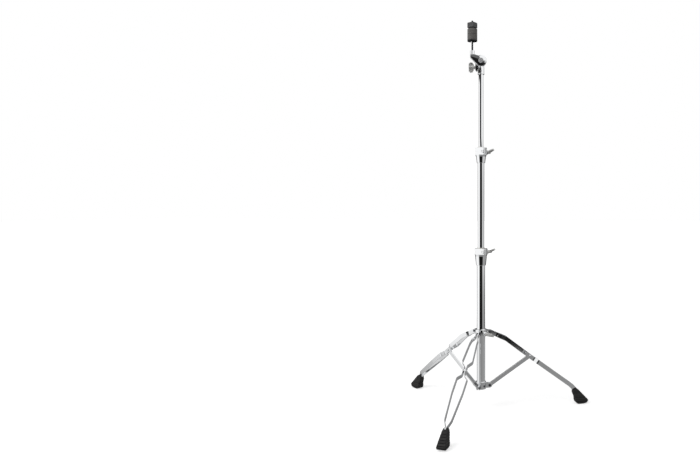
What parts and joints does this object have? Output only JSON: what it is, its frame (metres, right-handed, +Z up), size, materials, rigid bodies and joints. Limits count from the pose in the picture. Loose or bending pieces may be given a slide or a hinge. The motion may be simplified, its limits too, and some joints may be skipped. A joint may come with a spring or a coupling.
{
  "type": "straight cymbal stand",
  "caption": "Chrome cymbal stand of telescoping tubes with wing clamps, tilter and felts, on folding tripod legs of paired flat strips with braces and rubber feet",
  "frame": {"origin": "centre of the footprint's bounding box, on the floor", "axes": "+Z up along the tubes, -Y towards the front leg, +X to the right of a viewer who faces the front leg"},
  "size_m": [0.6746, 0.5842, 1.3163],
  "materials": {
    "chrome_tube": "polished chrome plate on drawn steel tube",
    "chrome_casting": "chrome plate on die castings and pressed steel",
    "chrome_fastener": "chrome plate on pins, rivets and bolts",
    "cast_wing": "satin plated die-cast wings",
    "steel_fastener": "zinc plated steel",
    "nylon_bush": "pale nylon liner",
    "friction_disc": "dark fibre friction washer",
    "threaded_rod": "rolled thread on dark plated steel",
    "seat_cup": "black moulded seat washer",
    "sleeve": "black flexible sleeve",
    "felt": "charcoal pressed wool felt",
    "nut_plastic": "black moulded plastic",
    "nut_brass": "threaded brass insert",
    "leg_strip": "chrome plate on flat steel strip",
    "brace": "chrome plate on flat steel bar",
    "foot_rubber": "black moulded rubber with cross grooves"
  },
  "bodies": {
    "stand": {"base_tube": "chrome_tube", "lower_collar": "chrome_casting", "collar_rivet": "steel_fastener", "base_clamp": "chrome_casting", "base_clamp_bush": "nylon_bush", "base_clamp_bolt": "chrome_fastener", "front_collar_pin": "chrome_fastener", "right_collar_pin": "chrome_fastener", "left_collar_pin": "chrome_fastener"},
    "base_clamp_wing": {"base_clamp_wing_nut": "cast_wing"},
    "hub": {"leg_hub": "chrome_casting", "front_hub_pin": "chrome_fastener", "right_hub_pin": "chrome_fastener", "left_hub_pin": "chrome_fastener"},
    "hub_wing": {"hub_wing_bolt": "cast_wing"},
    "middle_section": {"middle_tube": "chrome_tube", "middle_clamp": "chrome_casting", "middle_clamp_bush": "nylon_bush", "middle_clamp_bolt": "chrome_fastener"},
    "middle_clamp_wing": {"middle_clamp_wing_nut": "cast_wing"},
    "upper_section": {"upper_tube": "chrome_tube"},
    "tilter_head": {"tilter_base": "chrome_casting", "pivot_bolt": "steel_fastener", "pivot_nut": "steel_fastener", "friction_disc": "friction_disc", "ferrule_set_screw": "steel_fastener"},
    "tilter_wing": {"tilter_wing_screw": "cast_wing"},
    "cymbal_arm": {"tilter_arm": "chrome_casting", "threaded_rod": "threaded_rod", "seat_cup": "seat_cup", "cymbal_sleeve": "sleeve"},
    "lower_felt_pad": {"lower_felt": "felt"},
    "upper_felt_pad": {"upper_felt": "felt"},
    "nut_thread": {"nut_insert": "nut_brass"},
    "nut_wing": {"cymbal_nut": "nut_plastic"},
    "front_leg": {"front_leg_right_strip": "leg_strip", "front_leg_left_strip": "leg_strip", "front_foot": "foot_rubber", "front_leg_joint_rivet_right": "chrome_fastener", "front_leg_joint_rivet_left": "chrome_fastener", "front_leg_tip_rivet": "steel_fastener"},
    "front_brace_bar": {"front_brace": "brace"},
    "right_leg": {"right_leg_right_strip": "leg_strip", "right_leg_left_strip": "leg_strip", "right_foot": "foot_rubber", "right_leg_joint_rivet_right": "chrome_fastener", "right_leg_joint_rivet_left": "chrome_fastener", "right_leg_tip_rivet": "steel_fastener"},
    "right_brace_bar": {"right_brace": "brace"},
    "left_leg": {"left_leg_right_strip": "leg_strip", "left_leg_left_strip": "leg_strip", "left_foot": "foot_rubber", "left_leg_joint_rivet_right": "chrome_fastener", "left_leg_joint_rivet_left": "chrome_fastener", "left_leg_tip_rivet": "steel_fastener"},
    "left_brace_bar": {"left_brace": "brace"}
  },
  "joints": [
    {"name": "hub_slide", "type": "slide", "parent": "stand", "child": "hub", "axis": [0, 0, 1], "range_m": [0, 0.151]},
    {"name": "hub_wing_turn", "type": "hinge", "parent": "hub", "child": "hub_wing", "pos_m": [0, 0.08987, 0.26], "axis": [0.866, -0.5, 0], "continuous": true},
    {"name": "front_leg_fold", "type": "hinge", "parent": "hub", "child": "front_leg", "pos_m": [0, 0.06037, 0.265], "axis": [1, 0, 0], "range_deg": [0, 49.5]},
    {"name": "front_brace_fold", "type": "hinge", "parent": "stand", "child": "front_brace_bar", "pos_m": [0, 0.06037, 0.084], "axis": [-1, 0, 0], "range_deg": [0, 49.5]},
    {"name": "right_leg_fold", "type": "hinge", "parent": "hub", "child": "right_leg", "pos_m": [0.02555, 0.10462, 0.265], "axis": [-0.5, 0.866, 0], "range_deg": [0, 49.5]},
    {"name": "right_brace_fold", "type": "hinge", "parent": "stand", "child": "right_brace_bar", "pos_m": [0.02555, 0.10462, 0.084], "axis": [0.5, -0.866, 0], "range_deg": [0, 49.5]},
    {"name": "left_leg_fold", "type": "hinge", "parent": "hub", "child": "left_leg", "pos_m": [-0.02555, 0.10462, 0.265], "axis": [-0.5, -0.866, 0], "range_deg": [0, 49.5]},
    {"name": "left_brace_fold", "type": "hinge", "parent": "stand", "child": "left_brace_bar", "pos_m": [-0.02555, 0.10462, 0.084], "axis": [0.5, 0.866, 0], "range_deg": [0, 49.5]},
    {"name": "middle_tube_height", "type": "slide", "parent": "stand", "child": "middle_section", "axis": [0, 0, 1], "range_m": [-0.275, 0.065]},
    {"name": "upper_tube_height", "type": "slide", "parent": "middle_section", "child": "upper_section", "axis": [0, 0, 1], "range_m": [-0.242, 0.1]},
    {"name": "base_clamp_wing_turn", "type": "hinge", "parent": "stand", "child": "base_clamp_wing", "pos_m": [0.01626, 0.08564, 0.5354], "axis": [0.2521, 0.9677, 0], "continuous": true},
    {"name": "middle_clamp_wing_turn", "type": "hinge", "parent": "middle_section", "child": "middle_clamp_wing", "pos_m": [0.01321, 0.08643, 0.8739], "axis": [0.2521, 0.9677, 0], "continuous": true},
    {"name": "tilter_turn", "type": "hinge", "parent": "upper_section", "child": "tilter_head", "pos_m": [0, 0.08987, 1.1811], "axis": [0, 0, 1], "continuous": true},
    {"name": "tilter_wing_turn", "type": "hinge", "parent": "tilter_head", "child": "tilter_wing", "pos_m": [-0.01246, 0.09183, 1.1603], "axis": [-0.9542, -0.299, 0], "continuous": true},
    {"name": "cymbal_tilt", "type": "hinge", "parent": "tilter_head", "child": "cymbal_arm", "pos_m": [0, 0.08987, 1.1811], "axis": [-0.299, 0.9542, 0], "range_deg": [-10, 105]},
    {"name": "nut_lift", "type": "slide", "parent": "cymbal_arm", "child": "nut_thread", "axis": [0, 0, 1], "range_m": [0, 0.06]},
    {"name": "nut_turn", "type": "hinge", "parent": "nut_thread", "child": "nut_wing", "pos_m": [-0.02721, 0.07872, 1.2899], "axis": [0, 0, 1], "continuous": true},
    {"name": "upper_felt_lift", "type": "slide", "parent": "cymbal_arm", "child": "upper_felt_pad", "axis": [0, 0, 1], "range_m": [0, 0.04002]},
    {"name": "lower_felt_lift", "type": "slide", "parent": "cymbal_arm", "child": "lower_felt_pad", "axis": [0, 0, 1], "range_m": [0, 0.01998]}
  ],
  "couplings": [
    {"joint": "front_leg_fold", "follows": "hub_slide", "rad_per_m": 5.652},
    {"joint": "front_brace_fold", "follows": "hub_slide", "rad_per_m": 5.652},
    {"joint": "right_leg_fold", "follows": "hub_slide", "rad_per_m": 5.652},
    {"joint": "right_brace_fold", "follows": "hub_slide", "rad_per_m": 5.652},
    {"joint": "left_leg_fold", "follows": "hub_slide", "rad_per_m": 5.652},
    {"joint": "left_brace_fold", "follows": "hub_slide", "rad_per_m": 5.652},
    {"joint": "upper_felt_lift", "follows": "nut_lift", "ratio": 0.667},
    {"joint": "lower_felt_lift", "follows": "nut_lift", "ratio": 0.333}
  ]
}
